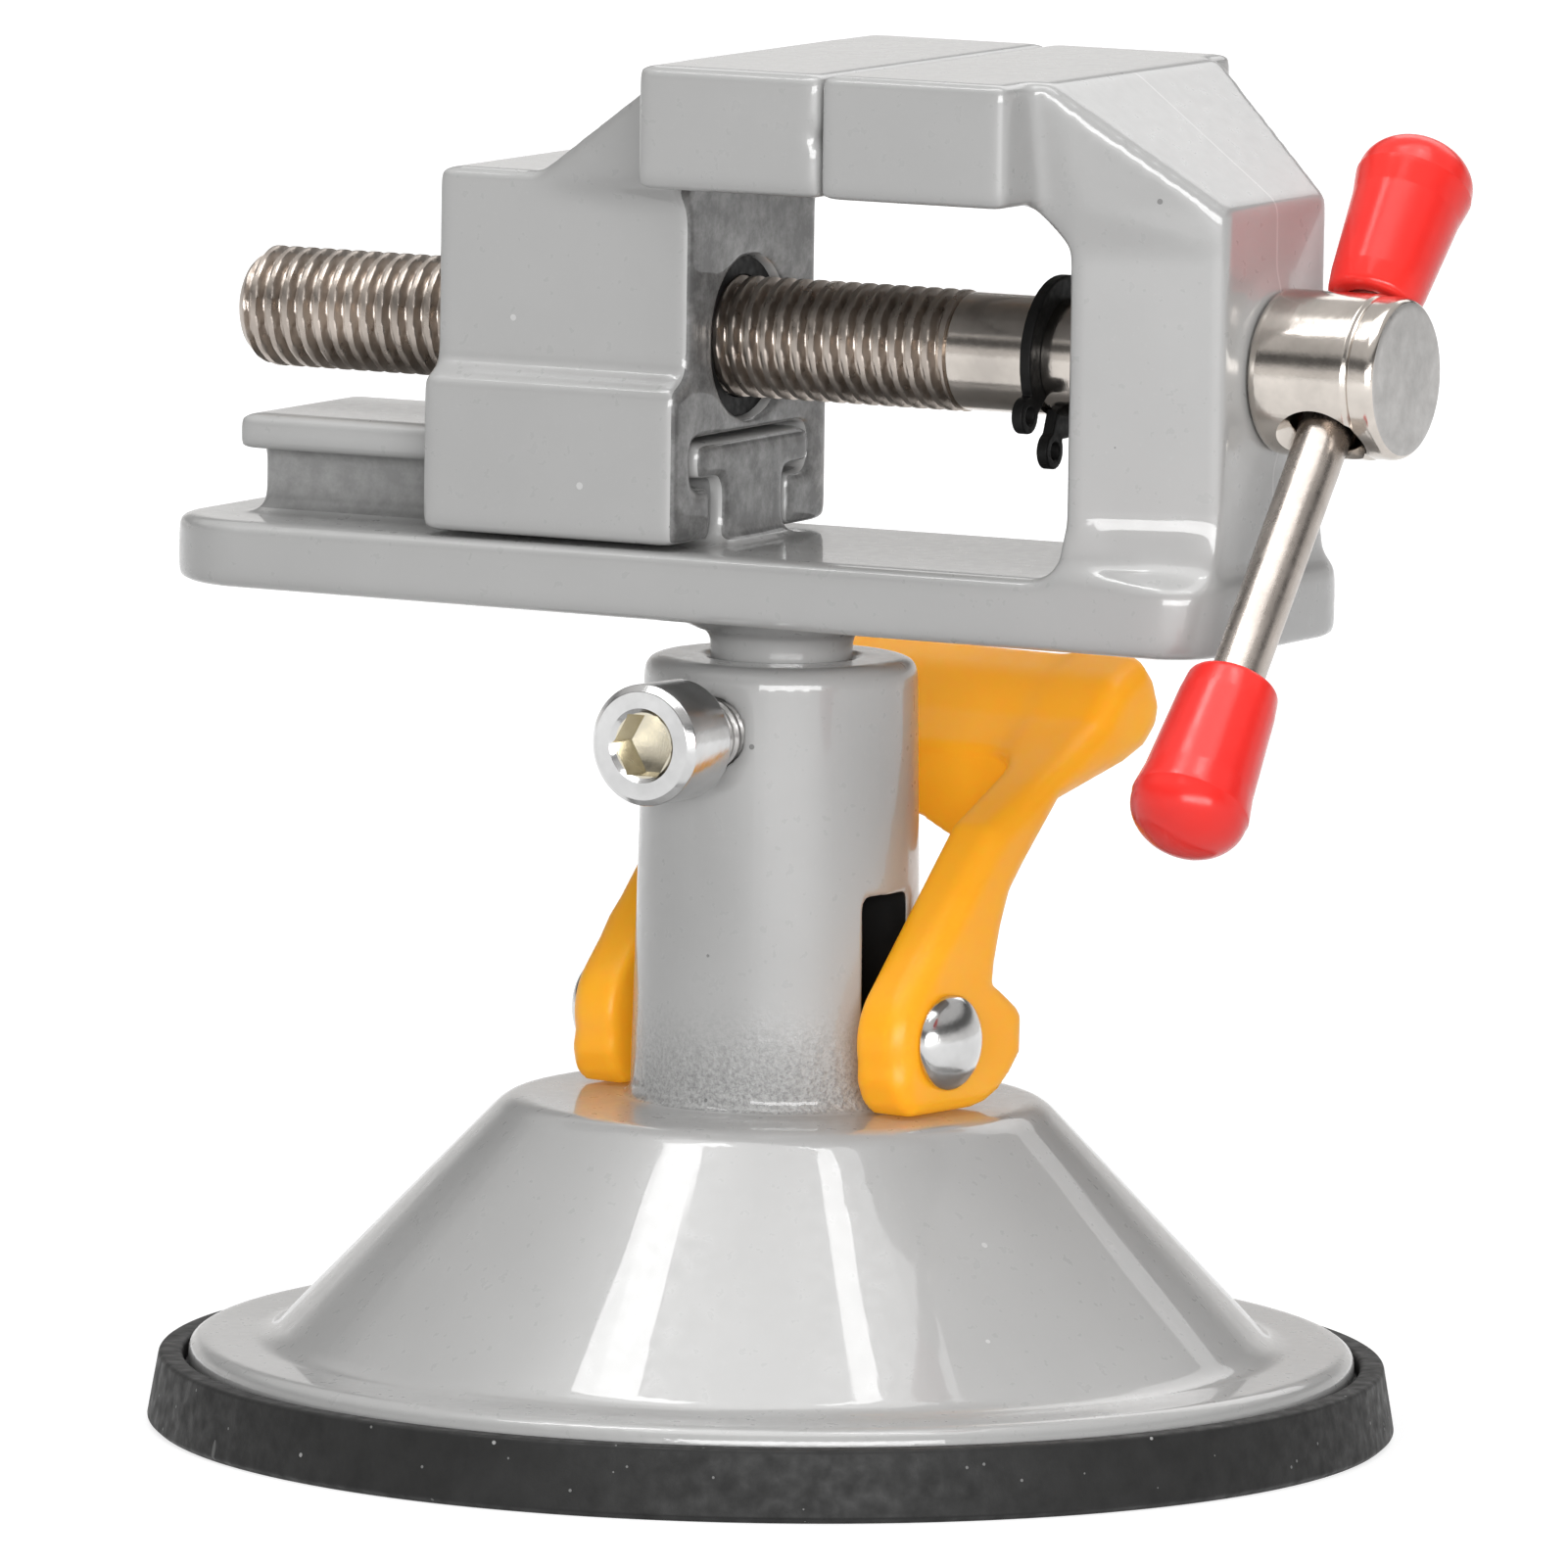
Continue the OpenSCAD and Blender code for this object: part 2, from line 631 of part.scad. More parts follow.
// Lead screw: thread, shank with a ring groove, head with a cross hole
screw_spare = 2.6;
screw_left_x = bush_left_x - jaw_travel - screw_spare;
head_x = column_end_x + end_boss_len + joint_gap;
head_end_x = head_x + head_len;
thread_right_x = head_x - shank_len;
ring_t = 1;
ring_x = column_x - ring_set;
ring_groove_d = 0.45;
groove_r = shank_r - ring_groove_d;
groove_half = (ring_t + joint_gap) / 2;
head_round_in = 1.5;
head_round_out = 1.2;
bar_hole_share = 0.51;
bar_x = head_x + head_len * bar_hole_share;

module lead_screw() {
    color(nickel_colour) translate([0, 0, screw_z]) difference() {
        rotate([0, 90, 0]) union() {
            translate([0, 0, screw_left_x])
                threaded_rod(screw_r, screw_pitch, thread_right_x - screw_left_x + cut);
            rotate_extrude() polygon(concat(
                [[0, thread_right_x], [shank_r, thread_right_x], [shank_r, ring_x - groove_half]],
                [[groove_r, ring_x - groove_half], [groove_r, ring_x + groove_half]],
                [[shank_r, ring_x + groove_half], [shank_r, head_x]],
                arc(head_r - head_round_in, head_x + head_round_in, head_round_in, -90, 0),
                arc(head_r - head_round_out, head_end_x - head_round_out, head_round_out, 0, 90),
                [[0, head_end_x]]
            ));
        }
        translate([bar_x, 0, 0]) rotate([-bar_lean, 0, 0])
            cylinder(r = bar_hole_r, h = (head_r + cut) * 2, center = true);
    }
}

// Retaining ring with two drilled lugs, in the plane across the screw
ring_in_r = groove_r + joint_gap / 2;
ring_gap_turn = 234.5;
ring_gap_half_turn = 14;
lug_turn = 21;
lug_r = 1.5;
lug_set = 1.1;
lug_hole_r = 0.75;

module at_lugs() {
    for (side = [-1, 1]) {
        rotate([0, 0, ring_gap_turn + side * lug_turn]) translate([ring_r + lug_set, 0]) children();
    }
}

module retaining_ring() {
    color(black_colour) translate([ring_x - ring_t / 2, 0, screw_z]) rotate([90, 0, 90])
        linear_extrude(height = ring_t) difference() {
            union() {
                difference() {
                    circle(r = ring_r);
                    polygon(concat([[0, 0]], arc(0, 0, ring_r * 2,
                        ring_gap_turn - ring_gap_half_turn, ring_gap_turn + ring_gap_half_turn)));
                }
                at_lugs() circle(r = lug_r);
            }
            circle(r = ring_in_r);
            at_lugs() circle(r = lug_hole_r);
        }
}

// Handle bar: it has slid down until its upper cap rests on the screw's head
cap_end_t = 2.4;
cap_dome_h = 4;
cap_start = head_r + joint_gap;
cap_hole_r = bar_r + joint_gap / 4;

module on_bar() {
    translate([bar_x, 0, screw_z]) rotate([-bar_lean, 0, 0]) translate([0, 0, cap_start]) children();
}

module cap() {
    dome_z = cap_len - cap_dome_h;
    difference() {
        rotate_extrude() polygon(concat(
            [[0, 0], [cap_r, 0], [cap_ridge_r, dome_z]],
            [for (p = arc(0, 0, 1, 0, 90)) [cap_ridge_r * p[0], dome_z + cap_dome_h * p[1]]]
        ));
        translate([0, 0, -cut]) cylinder(r = cap_hole_r, h = cap_len - cap_end_t + cut);
    }
}

module t_bar() {
    color(nickel_colour) on_bar() translate([0, 0, cap_len - bar_len + cap_end_t])
        cylinder(r = bar_r, h = bar_len - cap_end_t * 2);
}

module upper_cap() {
    color(cap_colour) on_bar() cap();
}

module lower_cap() {
    color(cap_colour) on_bar() translate([0, 0, cap_len * 2 - bar_len]) mirror([0, 0, 1]) cap();
}

base_housing();
suction_pad();
pad_plate();
pull_stem();
lever();
lever_pin();
clamp_screw();
vise_bed();
moving_jaw();
threaded_bush();
lead_screw();
retaining_ring();
t_bar();
upper_cap();
lower_cap();
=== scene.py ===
import math

import bmesh
import bpy
import numpy as np
from mathutils import Matrix, Vector

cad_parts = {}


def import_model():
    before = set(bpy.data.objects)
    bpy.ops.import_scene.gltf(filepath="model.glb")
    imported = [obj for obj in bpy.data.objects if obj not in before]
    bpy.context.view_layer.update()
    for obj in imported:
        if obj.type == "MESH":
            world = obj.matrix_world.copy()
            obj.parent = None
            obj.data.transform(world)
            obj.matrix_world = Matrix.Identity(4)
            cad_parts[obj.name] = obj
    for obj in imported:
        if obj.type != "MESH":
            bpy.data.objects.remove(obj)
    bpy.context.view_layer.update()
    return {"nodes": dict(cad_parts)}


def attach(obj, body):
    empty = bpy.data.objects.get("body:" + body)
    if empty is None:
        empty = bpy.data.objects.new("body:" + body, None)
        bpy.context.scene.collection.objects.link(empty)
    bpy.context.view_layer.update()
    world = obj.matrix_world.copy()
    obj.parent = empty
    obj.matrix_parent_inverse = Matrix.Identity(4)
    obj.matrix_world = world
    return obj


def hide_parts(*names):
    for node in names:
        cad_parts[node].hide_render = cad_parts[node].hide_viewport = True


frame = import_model()
MM = 0.001
SCENE = bpy.context.scene

# The camera, worked out from the photograph: 1601 by 1601 pixels
CAMERA_AZIMUTH = 27.997
CAMERA_ELEVATION = 6.906
CAMERA_ROLL = 0.831
CAMERA_DISTANCE = 1530.1 * MM
CAMERA_TARGET = Vector((0.407, 0, 53.463)) * MM
CAMERA_LENS = 426.5
CAMERA_SENSOR = 36
CAMERA_REACH = 20

# Heights and turns that the pieces share. Lengths are in millimetres, and MM makes them metres
DECK_Z = 27.5
PIN_Z = 33.6
CLAMP_Z = 58.6
POST_TOP = 64.2
BED_Z = 68.2
SCREW_Z = 90.3
BASE_YAW = math.radians(-9)
CLAMP_TURN = math.radians(-3.8)
BAR_LEAN = math.radians(39.4)

# Where the paint changes, and where painted shade and a painted highlight lie on it: from and to
# along X, across Y, up Z and out from the Z axis
SANDY_FOOT_Z = (28.5, 38)
# JAW_SIDE and RAIL_WEB: spans where shade between the jaws and under the rail's edges is painted
# darker
JAW_SIDE_X, JAW_SIDE_Z = (-12, 20), (68, 104)
RAIL_WEB_X, RAIL_WEB_Y, RAIL_WEB_Z = (-47, -4), (-9.4, 9.4), (74, 79.1)
# BORE: where the walls of the post's bores and slot are painted near black as shade
BORE_REACH, BORE_Z = (-11.3, 11.3), (28.5, 51)
# SEAM: a narrow band along the parting line on the head's roof, painted lighter as a highlight
SEAM_X, SEAM_Y, SEAM_Z = (28, 60), (-0.13, 0.13), (80, 120)


# Node materials

class Shader:
    """A material made of nodes, with short calls for the ones used here."""

    def __init__(self, name, **sockets):
        self.material = bpy.data.materials.new(name)
        self.material.use_nodes = True
        self.tree = self.material.node_tree
        self.bsdf = self.tree.nodes["Principled BSDF"]
        for socket, value in sockets.items():
            self.bsdf.inputs[socket.replace("_", " ")].default_value = value
        self.place = self.add("ShaderNodeTexCoord").outputs["Object"]

    def add(self, kind, sockets=None, **settings):
        node = self.tree.nodes.new(kind)
        for key, value in settings.items():
            setattr(node, key, value)
        for key, value in (sockets or {}).items():
            self.join(value, node.inputs[key])
        return node

    def join(self, value, socket):
        if isinstance(value, bpy.types.NodeSocket):
            self.tree.links.new(value, socket)
        else:
            socket.default_value = value

    def set(self, socket, value):
        self.join(value, self.bsdf.inputs[socket])

    def noise(self, scale, detail=2.0, roughness=0.5, place=None):
        sockets = {
            "Vector": place or self.place, "Scale": scale, "Detail": detail, "Roughness": roughness
        }
        return self.add("ShaderNodeTexNoise", sockets).outputs["Fac"]

    def math(self, operation, first, second=0.0):
        return self.add("ShaderNodeMath", {0: first, 1: second}, operation=operation).outputs[0]

    def span(self, value, low, high, to_low=0.0, to_high=1.0, smooth=False):
        """The value's place between low and high, carried over to a place between two others."""
        sockets = {
            "Value": value, "From Min": low, "From Max": high, "To Min": to_low, "To Max": to_high
        }
        kind = "SMOOTHSTEP" if smooth else "LINEAR"
        return self.add("ShaderNodeMapRange", sockets, interpolation_type=kind).outputs["Result"]

    def mix(self, factor, first, second):
        """A colour mix; the node has sockets of every data type, and these are the colour's."""
        sockets = {0: factor, 6: first, 7: second}
        return self.add("ShaderNodeMix", sockets, data_type="RGBA").outputs[2]

    def specks(self, scale, size, rarity, place=None):
        """1 inside small round specks, of which only the share above rarity is kept."""
        node = self.add("ShaderNodeTexVoronoi", {"Vector": place or self.place, "Scale": scale})
        near = self.math("LESS_THAN", node.outputs["Distance"], size)
        parts = self.add("ShaderNodeSeparateColor", {0: node.outputs["Color"]})
        return self.math("MULTIPLY", near, self.math("GREATER_THAN", parts.outputs[0], rarity))

    def stretched(self, x, y, z, turn=(0, 0, 0)):
        sockets = {"Vector": self.place, "Scale": (x, y, z), "Rotation": turn}
        return self.add("ShaderNodeMapping", sockets).outputs["Vector"]

    def axis(self, index):
        return self.add("ShaderNodeSeparateXYZ", {0: self.place}).outputs[index]

    def reach(self):
        """How far a spot is from the Z axis."""
        sockets = {0: self.place, 1: (1, 1, 0)}
        flat = self.add("ShaderNodeVectorMath", sockets, operation="MULTIPLY").outputs[0]
        return self.add("ShaderNodeVectorMath", {0: flat}, operation="LENGTH").outputs["Value"]

    def within(self, value, ends):
        """1 where the value lies between two lengths."""
        inside = self.math("GREATER_THAN", value, ends[0] * MM)
        return self.math("MULTIPLY", inside, self.math("LESS_THAN", value, ends[1] * MM))

    def all_of(self, first, *others):
        """1 where every mask is 1."""
        for other in others:
            first = self.math("MULTIPLY", first, other)
        return first

    def bump(self, height, distance, normal=None):
        sockets = {"Height": height, "Distance": distance, "Strength": 1.0}
        if normal is not None:
            sockets["Normal"] = normal
        return self.add("ShaderNodeBump", sockets).outputs["Normal"]


def grey(level):
    return (level, level, level * 0.99, 1)


def gap_shade_and_roughness_mask(s):
    """Painted shade in blotches between the jaws, and weaker under the rail's edges; the same mask
    makes the paint rougher there.
    """
    facing = s.add("ShaderNodeSeparateXYZ", {0: s.add("ShaderNodeTexCoord").outputs["Normal"]})
    across_x = s.math("GREATER_THAN", facing.outputs[0], 0.6)
    x, y, z = s.axis(0), s.axis(1), s.axis(2)
    jaw_side_shade = s.all_of(across_x, s.within(x, JAW_SIDE_X), s.within(z, JAW_SIDE_Z))
    web = s.all_of(s.within(z, RAIL_WEB_Z), s.within(y, RAIL_WEB_Y), s.within(x, RAIL_WEB_X))
    web = s.math("MULTIPLY", web, 0.6)
    blotches = s.span(s.noise(420, 4, 0.7), 0.3, 0.6, 0.45, 0.9)
    return s.math("MULTIPLY", s.math("MAXIMUM", jaw_side_shade, web), blotches)


def casting_paint():
    """Light grey gloss paint over a die casting: orange peel, pits, specks, a sandy foot, painted
    shade and a painted highlight.
    """
    s = Shader("grey_paint", Coat_Weight=0.7, Coat_Roughness=0.04)
    x, y, z = s.axis(0), s.axis(1), s.axis(2)
    fine = s.noise(2600, 2)
    dark, light = s.specks(300, 0.07, 0.94), s.specks(260, 0.08, 0.93)
    low, high = SANDY_FOOT_Z
    foot = s.span(z, high * MM, low * MM, smooth=True)
    sandy = s.math("MULTIPLY", foot, s.math("GREATER_THAN", z, (DECK_Z + 0.2) * MM))
    grains = s.math("MULTIPLY", s.span(s.noise(3000, 3, 0.7), 0.4, 0.65), sandy)
    # Painted shade: darker blotches on the jaw's inner side and the rail's web; the same mask makes
    # the paint rougher there
    gap_shade_and_roughness = gap_shade_and_roughness_mask(s)
    # Painted shade: the walls of the bores and slot inside the post are painted near black
    bore_shade = s.all_of(s.within(s.reach(), BORE_REACH), s.within(z, BORE_Z))
    # Painted highlight: a lighter line painted along the parting line of the head's roof
    seam_highlight = s.all_of(s.within(y, SEAM_Y), s.within(z, SEAM_Z), s.within(x, SEAM_X))

    colour = s.mix(s.span(s.noise(60, 3), 0.3, 0.7), grey(0.41), grey(0.44))
    for share, level in (
        (s.span(fine, 0.62, 0.8, 0, 0.25), 0.50),
        (s.math("MULTIPLY", dark, 0.7), 0.1),
        (s.math("MULTIPLY", light, 0.4), 0.85),
        (s.math("MULTIPLY", grains, 0.6), 0.12),
        (gap_shade_and_roughness, 0.08),
        (bore_shade, 0.015),
        (s.math("MULTIPLY", seam_highlight, 0.35), 0.8),
    ):
        colour = s.mix(share, colour, grey(level))
    s.set("Base Color", colour)
    gloss = s.span(s.noise(900, 3), 0.3, 0.7, 0.26, 0.4)
    s.set("Roughness", s.math("ADD", gloss, s.math("MULTIPLY", gap_shade_and_roughness, 0.45)))

    normal = None
    for height, depth in (
        (s.noise(260, 2), 0.012),
        (fine, 0.004),
        (s.math("MULTIPLY", s.noise(1500, 4, 0.7), sandy), 0.25),
        (s.math("SUBTRACT", light, dark), 0.018),
    ):
        normal = s.bump(height, depth * MM, normal)
    s.set("Normal", normal)
    return s.material


def plated(name, colour, roughness, wear, grain=0.008):
    """Bright plate with fine scratches and small pits."""
    s = Shader(name, Metallic=1.0)
    cloud = s.noise(150, 4, 0.6)
    dull = tuple(c * wear for c in colour[:3]) + (1,)
    s.set("Base Color", s.mix(s.span(cloud, 0.35, 0.7), colour, dull))
    s.set("Roughness", s.span(s.noise(700, 4, 0.7), 0.3, 0.75, roughness, roughness * 1.9))
    scratches = s.bump(s.noise(900, 3, 0.6, s.stretched(6, 1, 1)), 0.006 * MM)
    s.set("Normal", s.bump(s.noise(1800, 3, 0.6), grain * MM, scratches))
    return s.material


def black_finish():
    s = Shader("black_oxide", Specular_IOR_Level=0.16)
    s.set("Base Color", s.mix(s.span(s.noise(400, 3), 0.3, 0.7), grey(0.005), grey(0.012)))
    s.set("Roughness", s.span(s.noise(1400, 3), 0.3, 0.7, 0.4, 0.65))
    s.set("Normal", s.bump(s.noise(1600, 3), 0.01 * MM))
    return s.material


def pad_rubber():
    """Dark rubber with dust and lint on it."""
    s = Shader("black_rubber", Roughness=0.6, Specular_IOR_Level=0.3)
    dust = s.specks(900, 0.12, 0.86)
    lint = s.specks(260, 0.07, 0.75, s.stretched(1, 1, 0.25, (0.4, 0.2, 0)))
    crumbs = s.specks(520, 0.1, 0.95)
    colour = s.mix(s.span(s.noise(300, 4), 0.3, 0.7), grey(0.012), grey(0.022))
    for specks, share, level in ((dust, 0.35, 0.5), (lint, 0.25, 0.45), (crumbs, 0.6, 0.6)):
        colour = s.mix(s.math("MULTIPLY", specks, share), colour, grey(level))
    s.set("Base Color", colour)
    s.set("Roughness", s.span(s.noise(700, 3), 0.3, 0.7, 0.45, 0.7))
    grain = s.bump(s.noise(1700, 4, 0.6), 0.03 * MM)
    s.set("Normal", s.bump(crumbs, 0.05 * MM, grain))
    return s.material


def moulded(name, colour, deep, roughness, peel, depth, painted_glow):
    """Moulded plastic that lets light in, and that gives out painted light in its own colour,
    though it is no lamp.
    """
    s = Shader(name, Subsurface_Weight=depth, Subsurface_Scale=2 * MM, Specular_IOR_Level=0.35,
               Emission_Color=colour, Emission_Strength=painted_glow)
    s.set("Base Color", s.mix(s.span(s.noise(90, 3), 0.3, 0.7), deep, colour))
    s.set("Roughness", s.span(s.noise(600, 3), 0.3, 0.7, roughness * 0.8, roughness * 1.3))
    s.set("Normal", s.bump(s.noise(1100, 3), peel * MM))
    return s.material


PAINT = casting_paint()
NICKEL = plated("nickel_plate", (0.66, 0.61, 0.56, 1), 0.11, 0.72)
ROLLED = plated("rolled_thread", (0.52, 0.46, 0.41, 1), 0.24, 0.6, 0.03)
DULL = plated("turned_face", (0.5, 0.49, 0.48, 1), 0.34, 0.8, 0.012)
BAR = plated("bar_plate", (0.52, 0.47, 0.43, 1), 0.2, 0.7)
ZINC = plated("zinc_plate", (0.66, 0.66, 0.66, 1), 0.12, 0.75)
PASSIVATED = plated("passivated_zinc", (0.74, 0.69, 0.56, 1), 0.16, 0.7, 0.01)
BLACK = black_finish()
RUBBER = pad_rubber()
# The orange plastic gives out painted light of its own colour, so that it looks more brightly lit
ORANGE = moulded(
    "orange_plastic", (1.0, 0.44, 0.02, 1), (1.0, 0.39, 0.01, 1),
    roughness=0.36, peel=0.006, depth=0.6, painted_glow=0.24
)
# The red caps give out a little painted light of their own colour
RED = moulded(
    "red_plastic", (0.95, 0.04, 0.03, 1), (0.86, 0.03, 0.025, 1),
    roughness=0.2, peel=0.006, depth=0.12, painted_glow=0.05
)


# Mesh building

WELD = 0.002 * MM


def link(name, mesh, material):
    piece = bpy.data.objects.new(name, mesh)
    SCENE.collection.objects.link(piece)
    mesh.materials.clear()
    mesh.materials.append(material)
    return piece


def smooth(mesh, angle):
    mesh.shade_smooth()
    mesh.set_sharp_from_angle(angle=math.radians(angle))


def baked(piece):
    """The piece's modifiers become its mesh."""
    bpy.context.view_layer.update()
    shown = piece.evaluated_get(bpy.context.evaluated_depsgraph_get())
    mesh = bpy.data.meshes.new_from_object(shown)
    piece.modifiers.clear()
    piece.data = mesh
    return piece


def soften(piece, voxel, passes):
    """Rounds every edge of a closed mesh, as casting and paint do, and merges its flats again."""
    remesh = piece.modifiers.new("remesh", "REMESH")
    remesh.mode = "VOXEL"
    remesh.voxel_size = voxel * MM
    rounding = piece.modifiers.new("rounding", "SMOOTH")
    rounding.factor = 0.5
    rounding.iterations = passes
    flats = piece.modifiers.new("flats", "DECIMATE")
    flats.decimate_type = "DISSOLVE"
    flats.angle_limit = math.radians(0.7)
    baked(piece)
    piece.data.shade_smooth()
    weighted = piece.modifiers.new("weighted", "WEIGHTED_NORMAL")
    weighted.keep_sharp = True
    return baked(piece)


def soft_copy(node, name, material, voxel, passes):
    """A copy of a CAD node with softened edges that stands for the node."""
    mesh = frame["nodes"][node].data.copy()
    bm = bmesh.new()
    bm.from_mesh(mesh)
    bmesh.ops.remove_doubles(bm, verts=bm.verts, dist=WELD)
    bm.to_mesh(mesh)
    bm.free()
    piece = soften(link(name, mesh, material), voxel, passes)
    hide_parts(node)
    return piece


def lathe(name, profile, segments, angle=40):
    """A mesh turned round Z from (radius, height) points; a point on the axis closes it."""
    bm = bmesh.new()
    rings = []
    for radius, height in profile:
        if radius == 0:
            rings.append([bm.verts.new((0, 0, height * MM))])
            continue
        r, turns = radius * MM, [2 * math.pi * i / segments for i in range(segments)]
        rings.append([bm.verts.new((r * math.cos(a), r * math.sin(a), height * MM)) for a in turns])
    closed = profile[0][0] != 0
    pairs = list(zip(rings, rings[1:] + rings[:1])) if closed else list(zip(rings, rings[1:]))
    for low, high in pairs:
        for i in range(segments):
            j = (i + 1) % segments
            corners = low[i % len(low)], low[j % len(low)], high[j % len(high)], high[i % len(high)]
            bm.faces.new(list(dict.fromkeys(corners)))
    bmesh.ops.recalc_face_normals(bm, faces=bm.faces)
    mesh = bpy.data.meshes.new(name)
    bm.to_mesh(mesh)
    bm.free()
    smooth(mesh, angle)
    return mesh


def arc(cx, cy, radius, start, end, steps):
    """Points on an arc between two angles in degrees."""
    turns = [math.radians(start + (end - start) * i / steps) for i in range(steps + 1)]
    return [(cx + radius * math.cos(a), cy + radius * math.sin(a)) for a in turns]


def rounded(points, radius, steps=6):
    """An open outline with rounded corners; a point's third value is its own radius."""
    out = [tuple(points[0][:2])]
    for before, here, after in zip(points, points[1:], points[2:]):
        r = here[2] if len(here) > 2 else radius
        p = Vector(here[:2])
        a, b = (Vector(before[:2]) - p), (Vector(after[:2]) - p)
        if r == 0 or a.length == 0 or b.length == 0:
            out.append(tuple(p))
            continue
        half = a.angle(b) / 2
        reach = min(r / math.tan(half), a.length * 0.49, b.length * 0.49)
        start, end = p + a.normalized() * reach, p + b.normalized() * reach
        for i in range(steps + 1):
            t = i / steps
            out.append(tuple(start.lerp(p, t).lerp(p.lerp(end, t), t)))
    out.append(tuple(points[-1][:2]))
    return out


def placed(mesh, spot, turn=None):
    """The mesh turned by a matrix and moved to a spot."""
    mesh.transform(Matrix.Translation(Vector(spot) * MM) @ (turn or Matrix.Identity(4)))
    return mesh


def cut_with(piece, mesh):
    """Takes the mesh's space out of the piece."""
    tool = bpy.data.objects.new("tool", mesh)
    SCENE.collection.objects.link(tool)
    cutter = piece.modifiers.new("cut", "BOOLEAN")
    cutter.operation = "DIFFERENCE"
    cutter.solver = "EXACT"
    cutter.object = tool
    baked(piece)
    bpy.data.objects.remove(tool)


def rod(radius, low, high, segments=96):
    return lathe("rod", [(0, low), (radius, low), (radius, high), (0, high)], segments)


def block(width, depth, low, high):
    bm = bmesh.new()
    bmesh.ops.create_cube(bm, size=1)
    mesh = bpy.data.meshes.new("block")
    bm.to_mesh(mesh)
    bm.free()
    middle = Matrix.Translation((0, 0, (low + high) / 2 * MM))
    mesh.transform(middle @ Matrix.Diagonal((width * MM, depth * MM, (high - low) * MM, 1)))
    return mesh


def turn_z(angle):
    return Matrix.Rotation(angle, 4, "Z")


ALONG_X = Matrix.Rotation(math.radians(90), 4, "Y")
ALONG_Y = Matrix.Rotation(math.radians(-90), 4, "X")
AGAINST_Y = Matrix.Rotation(math.radians(90), 4, "X")
UPSIDE_DOWN = Matrix.Rotation(math.pi, 4, "X")


def threaded(name, radius, pitch, length, depth, segments, steps):
    """A rod along Z with a true right-hand helical thread, a chamfered tip at 0 and a flat end.

    It has so many segments round and so many steps in each turn. The thread grows over its run-in,
    in turns, out of a core that is narrower there by a share of the thread's depth.
    """
    crest_width, flank_slope = 1.75, 4.4
    run_in, narrowing, tip_share, tip_z = 0.8, 0.35, 0.86, -0.35
    bm = bmesh.new()
    rings = []
    rows = int(length / pitch * steps)
    for row in range(rows + 1):
        z = length * row / rows
        grown = min(1, z / (pitch * run_in))
        ring = []
        for i in range(segments):
            phase = (z / pitch - i / segments) % 1
            crest = min(1, max(0, crest_width - abs(phase - 0.5) * flank_slope))
            crest = crest * crest * (3 - 2 * crest)
            r = radius - depth + depth * crest * grown - (1 - grown) * depth * narrowing
            a = 2 * math.pi * i / segments
            ring.append(bm.verts.new((r * MM * math.cos(a), r * MM * math.sin(a), z * MM)))
        rings.append(ring)
    tip = [bm.verts.new((v.co.x * tip_share, v.co.y * tip_share, tip_z * MM)) for v in rings[0]]
    for low, high in zip([tip] + rings, rings):
        for i in range(segments):
            j = (i + 1) % segments
            bm.faces.new((low[i], low[j], high[j], high[i]))
    bm.faces.new(list(reversed(tip)))
    bm.faces.new(rings[-1])
    bmesh.ops.recalc_face_normals(bm, faces=bm.faces)
    mesh = bpy.data.meshes.new(name)
    bm.to_mesh(mesh)
    bm.free()
    smooth(mesh, 50)
    return mesh


def join(piece, mesh, material):
    """Adds a mesh with its own material to the piece."""
    bm = bmesh.new()
    bm.from_mesh(piece.data)
    count = len(bm.faces)
    bm.from_mesh(mesh)
    bm.faces.ensure_lookup_table()
    for face in bm.faces[count:]:
        face.material_index = len(piece.data.materials)
    bm.to_mesh(piece.data)
    bm.free()
    piece.data.materials.append(material)


# Forms made from distance fields, which are negative inside

def ramp(value, start, end):
    """0 at the start, 1 at the end."""
    return np.clip((value - start) / (end - start), 0, 1)


def outline_field(points, u, v):
    """Distance from a closed outline in the (u, v) plane."""
    nearest, crossings = np.inf, False
    for (au, av), (bu, bv) in zip(points, points[1:] + points[:1]):
        du, dv = bu - au, bv - av
        along = np.clip(((u - au) * du + (v - av) * dv) / (du * du + dv * dv), 0, 1)
        off_u, off_v = u - au - along * du, v - av - along * dv
        nearest = np.minimum(nearest, off_u ** 2 + off_v ** 2)
        if dv:
            crossings ^= ((av > v) != (bv > v)) & (u < au + (v - av) * du / dv)
    return np.sqrt(nearest) * np.where(crossings, -1, 1)


def plate_field(flat, across, radius):
    """A plate with the outline flat, its faces where across is zero, and round edges."""
    a, b = flat + radius, across + radius
    return np.hypot(np.maximum(a, 0), np.maximum(b, 0)) + np.minimum(np.maximum(a, b), 0) - radius


